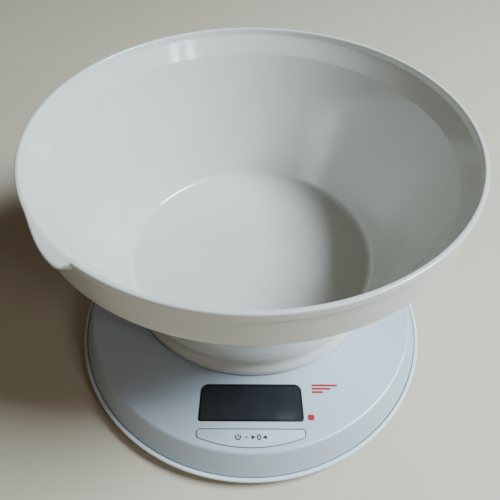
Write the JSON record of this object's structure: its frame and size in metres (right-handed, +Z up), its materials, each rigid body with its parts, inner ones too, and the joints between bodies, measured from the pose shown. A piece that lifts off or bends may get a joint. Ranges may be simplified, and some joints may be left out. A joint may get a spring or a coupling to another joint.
{
  "type": "kitchen scale",
  "caption": "Round digital kitchen scale with a display window, one key and a lift-off mixing bowl with a collar and a pouring lip.",
  "frame": {"origin": "on the table, in the middle of the outline's box", "axes": "+Z up, -Y towards the person who reads the display, +X to that person's right"},
  "size_m": [0.2136, 0.2268, 0.1267],
  "materials": {
    "bowl_plastic": "glossy off-white moulded plastic with fine scratches",
    "housing_paint": "satin silver-grey paint on plastic",
    "base_plastic": "satin light grey plastic",
    "cast_aluminium": "machined and cast, satin",
    "screw_steel": "zinc plated",
    "contact_metal": "bright nickel plate",
    "gauge_foil": "copper foil on amber film",
    "white_silicone": "soft silicone coating",
    "wire_insulation": "coloured insulation",
    "foot_rubber": "dark matt rubber",
    "label_film": "blank silver film",
    "window_plastic": "glossy dark tinted window",
    "black_tape": "black adhesive tape",
    "lcd_glass": "grey-green display glass",
    "white_plastic": "natural moulded plastic",
    "strip_rubber": "layered elastomer",
    "board_laminate": "green solder mask with tracks",
    "black_epoxy": "glossy potting drop",
    "capacitor_sleeve": "shrink sleeve",
    "black_plastic": "moulded black",
    "battery_sleeve": "printed film, blank"
  },
  "bodies": {
    "base": {"upper_housing": "housing_paint", "lower_housing": "base_plastic", "housing_screws": "screw_steel", "rubber_feet": "foot_rubber", "rating_label": "label_film", "display_window": "window_plastic", "window_tape": "black_tape", "lcd_glass": "lcd_glass", "lcd_frame": "white_plastic", "contact_strips": "strip_rubber", "circuit_board": "board_laminate", "board_screws": "screw_steel", "processor_blob": "black_epoxy", "capacitors": "capacitor_sleeve", "crystal": "contact_metal", "wire_socket": "white_plastic", "tact_switch": "black_plastic", "switch_terminals": "contact_metal", "load_cell": "cast_aluminium", "strain_gauges": "gauge_foil", "gauge_coating": "white_silicone", "base_spacer": "screw_steel", "load_cell_screws": "screw_steel", "overload_stop": "screw_steel", "load_cell_wires": "wire_insulation", "batteries": "battery_sleeve", "battery_contacts": "contact_metal", "bridge_contact": "contact_metal", "battery_leads": "wire_insulation"},
    "platform": {"weighing_platform": "housing_paint", "platform_carrier": "cast_aluminium", "platform_screws": "screw_steel", "carrier_screws": "screw_steel", "top_spacer": "screw_steel"},
    "bowl": {"bowl": "bowl_plastic"},
    "key": {"tare_key": "housing_paint", "key_post": "housing_paint", "switch_plunger": "black_plastic"},
    "door": {"battery_door": "base_plastic"}
  },
  "joints": [
    {"name": "platform_sink", "type": "slide", "parent": "base", "child": "platform", "axis": [0, 0, 1], "range_m": [-0.0008, 0], "stiffness_N_per_m": 30000, "springref_m": 0.0001, "deforming": ["load_cell"]},
    {"name": "bowl_lift", "type": "slide", "parent": "platform", "child": "bowl", "axis": [0, 0, 1], "range_m": [0, 0.15]},
    {"name": "key_press", "type": "slide", "parent": "base", "child": "key", "axis": [0, 0, 1], "range_m": [-0.0004, 0], "stiffness_N_per_m": 1500, "springref_m": 0.0001},
    {"name": "door_open", "type": "hinge", "parent": "base", "child": "door", "pos_m": [-0.064, -0.0389, 0.0025], "axis": [-1, 0, 0], "range_deg": [0, 60]}
  ]
}
